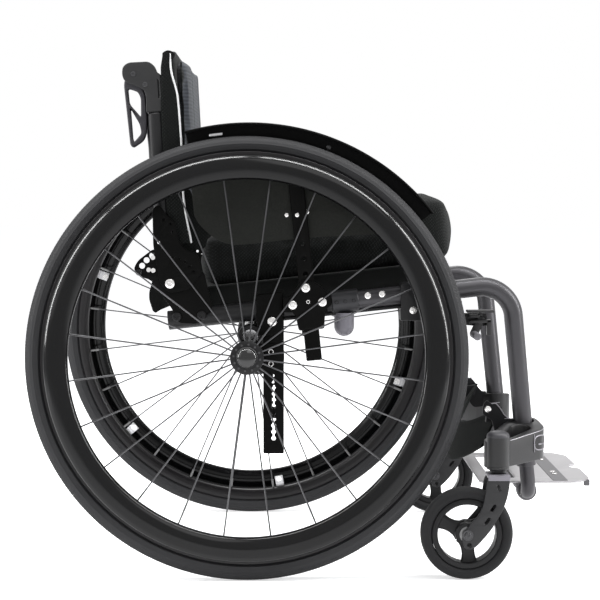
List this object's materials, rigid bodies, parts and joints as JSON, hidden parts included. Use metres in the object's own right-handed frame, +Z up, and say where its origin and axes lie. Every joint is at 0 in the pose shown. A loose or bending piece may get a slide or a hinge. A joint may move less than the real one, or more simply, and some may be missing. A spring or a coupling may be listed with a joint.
{
  "type": "rigid frame active wheelchair",
  "caption": "Self-propelled wheelchair with a rigid tube frame, cambered quick-release wheels with hand rims, swivelling casters, fold-down back, push grips, lift-out guards and footplate",
  "frame": {"origin": "on the floor under the middle of the chair's overall length and width", "axes": "+X is forwards, the way a seated person faces; +Y is to that person's left; +Z is up"},
  "size_m": [0.7746, 0.6188, 0.7068],
  "materials": {
    "tyre_rubber": "matte",
    "black_anodised": "satin",
    "gloss_black": "gloss",
    "black_plastic": "matte",
    "grey_satin": "satin",
    "pale_metal": "satin",
    "black_steel": "satin",
    "mesh_fabric": "matte",
    "ribbed_fabric": "matte",
    "strap_fabric": "matte"
  },
  "bodies": {
    "frame": {"cross_tube": "pale_metal", "footrest_tube": "grey_satin", "calf_strap": "strap_fabric", "seat_sling": "strap_fabric", "seat_cushion": "mesh_fabric", "axle_bar_left": "black_anodised", "axle_carrier_left": "black_anodised", "rear_frame_tube_left": "black_anodised", "front_frame_tube_left": "grey_satin", "frame_collar_left": "grey_satin", "caster_clamp_left": "grey_satin", "guard_receiver_left": "black_anodised", "brake_mount_left": "black_anodised", "back_pivot_plate_left": "black_anodised", "axle_bar_right": "black_anodised", "axle_carrier_right": "black_anodised", "rear_frame_tube_right": "black_anodised", "front_frame_tube_right": "grey_satin", "frame_collar_right": "grey_satin", "caster_clamp_right": "grey_satin", "guard_receiver_right": "black_anodised", "brake_mount_right": "black_anodised", "back_pivot_plate_right": "black_anodised"},
    "backrest": {"back_cross_bar": "black_anodised", "back_shell": "mesh_fabric", "back_pad": "ribbed_fabric", "back_cane_left": "black_anodised", "handle_bracket_left": "black_plastic", "back_cane_right": "black_anodised", "handle_bracket_right": "black_plastic"},
    "footplate": {"footplate": "pale_metal"},
    "wheel_axle_left": {"release_axle_left": "pale_metal"},
    "rear_wheel_left": {"rear_tyre_left": "tyre_rubber", "rear_rim_left": "black_anodised", "hub_and_spokes_left": "black_steel", "hand_rim_left": "gloss_black"},
    "axle_button_left": {"release_button_left": "gloss_black"},
    "caster_fork_left": {"caster_fork_left": "grey_satin"},
    "caster_wheel_left": {"caster_tyre_left": "tyre_rubber", "caster_hub_left": "black_plastic"},
    "side_guard_left": {"guard_panel_left": "black_plastic", "guard_fender_left": "black_plastic", "guard_post_left": "black_anodised"},
    "brake_left": {"brake_lever_left": "grey_satin"},
    "push_grip_left": {"handle_grip_left": "black_plastic"},
    "wheel_axle_right": {"release_axle_right": "pale_metal"},
    "rear_wheel_right": {"rear_tyre_right": "tyre_rubber", "rear_rim_right": "black_anodised", "hub_and_spokes_right": "black_steel", "hand_rim_right": "gloss_black"},
    "axle_button_right": {"release_button_right": "gloss_black"},
    "caster_fork_right": {"caster_fork_right": "grey_satin"},
    "caster_wheel_right": {"caster_tyre_right": "tyre_rubber", "caster_hub_right": "black_plastic"},
    "side_guard_right": {"guard_panel_right": "black_plastic", "guard_fender_right": "black_plastic", "guard_post_right": "black_anodised"},
    "brake_right": {"brake_lever_right": "grey_satin"},
    "push_grip_right": {"handle_grip_right": "black_plastic"}
  },
  "joints": [
    {"name": "back_fold", "type": "hinge", "parent": "frame", "child": "backrest", "pos_m": [-0.19675, 0, 0.3905], "axis": [0, 1, 0], "range_deg": [-12, 34], "deforming": ["back_pad"]},
    {"name": "footplate_flip", "type": "hinge", "parent": "frame", "child": "footplate", "pos_m": [0.29525, 0, 0.098], "axis": [0, -1, 0], "range_deg": [0, 85]},
    {"name": "wheel_release_left", "type": "slide", "parent": "frame", "child": "wheel_axle_left", "axis": [0, 0.9976, 0.0698], "range_m": [0, 0.11]},
    {"name": "wheel_spin_left", "type": "hinge", "parent": "wheel_axle_left", "child": "rear_wheel_left", "pos_m": [-0.09225, 0.25, 0.29431], "axis": [0, 0.9976, 0.0698], "continuous": true},
    {"name": "button_press_left", "type": "slide", "parent": "wheel_axle_left", "child": "axle_button_left", "axis": [0, -0.9976, -0.0698], "range_m": [0, 0.003], "stiffness_N_per_m": 600, "springref_m": -0.001},
    {"name": "caster_swivel_left", "type": "hinge", "parent": "frame", "child": "caster_fork_left", "pos_m": [0.24075, 0.263, 0.13], "axis": [0, 0, 1], "continuous": true},
    {"name": "caster_spin_left", "type": "hinge", "parent": "caster_fork_left", "child": "caster_wheel_left", "pos_m": [0.19925, 0.263, 0.0615], "axis": [0, 1, 0], "continuous": true},
    {"name": "guard_lift_left", "type": "slide", "parent": "frame", "child": "side_guard_left", "axis": [-0.1011, 0, 0.9949], "range_m": [0, 0.09]},
    {"name": "brake_swing_left", "type": "hinge", "parent": "frame", "child": "brake_left", "pos_m": [0.22275, 0.2038, 0.341], "axis": [0, 1, 0], "range_deg": [-15, 15]},
    {"name": "grip_fold_left", "type": "hinge", "parent": "backrest", "child": "push_grip_left", "pos_m": [-0.24509, 0.188, 0.67286], "axis": [0, 1, 0], "range_deg": [0, 80]},
    {"name": "wheel_release_right", "type": "slide", "parent": "frame", "child": "wheel_axle_right", "axis": [0, -0.9976, 0.0698], "range_m": [0, 0.11]},
    {"name": "wheel_spin_right", "type": "hinge", "parent": "wheel_axle_right", "child": "rear_wheel_right", "pos_m": [-0.09225, -0.25, 0.29431], "axis": [0, 0.9976, -0.0698], "continuous": true},
    {"name": "button_press_right", "type": "slide", "parent": "wheel_axle_right", "child": "axle_button_right", "axis": [0, 0.9976, -0.0698], "range_m": [0, 0.003], "stiffness_N_per_m": 600, "springref_m": -0.001},
    {"name": "caster_swivel_right", "type": "hinge", "parent": "frame", "child": "caster_fork_right", "pos_m": [0.24075, -0.263, 0.13], "axis": [0, 0, 1], "continuous": true},
    {"name": "caster_spin_right", "type": "hinge", "parent": "caster_fork_right", "child": "caster_wheel_right", "pos_m": [0.19925, -0.263, 0.0615], "axis": [0, 1, 0], "continuous": true},
    {"name": "guard_lift_right", "type": "slide", "parent": "frame", "child": "side_guard_right", "axis": [-0.1011, 0, 0.9949], "range_m": [0, 0.09]},
    {"name": "brake_swing_right", "type": "hinge", "parent": "frame", "child": "brake_right", "pos_m": [0.22275, -0.2038, 0.341], "axis": [0, 1, 0], "range_deg": [-15, 15]},
    {"name": "grip_fold_right", "type": "hinge", "parent": "backrest", "child": "push_grip_right", "pos_m": [-0.24509, -0.188, 0.67286], "axis": [0, 1, 0], "range_deg": [0, 80]}
  ]
}
